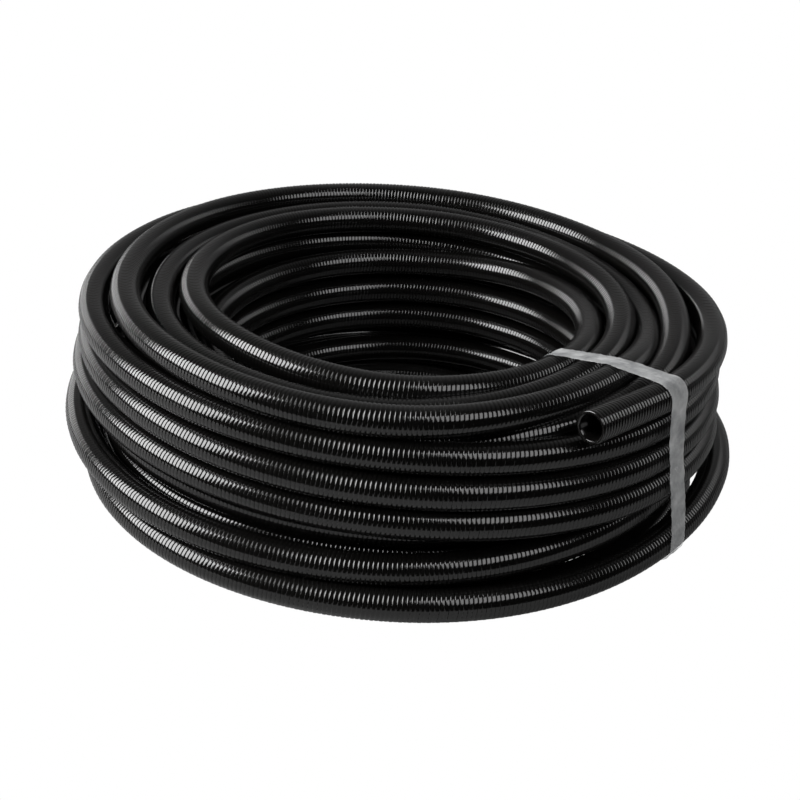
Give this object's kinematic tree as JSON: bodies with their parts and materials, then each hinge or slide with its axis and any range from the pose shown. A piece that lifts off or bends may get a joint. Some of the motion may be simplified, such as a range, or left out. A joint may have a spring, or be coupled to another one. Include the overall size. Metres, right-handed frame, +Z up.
{
  "type": "corrugated conduit",
  "caption": "Coil of glossy black spiral-ribbed flexible plastic conduit, lying flat and tied with a translucent film strap, its last turn ending in a straight, cut, open end.",
  "frame": {"origin": "on the floor, at the middle of the coil's outline", "axes": "+Z up along the coil's axis; the strap and the free end are on the +X -Y side, and the free end points towards -X -Y"},
  "size_m": [0.479, 0.479, 0.1544],
  "materials": {
    "conduit_pvc": "glossy black extruded plastic with fine spiral ribs",
    "strap_film": "milky translucent film, creased along its length"
  },
  "bodies": {
    "root": {"conduit": "conduit_pvc", "strap": "strap_film"}
  },
  "joints": []
}
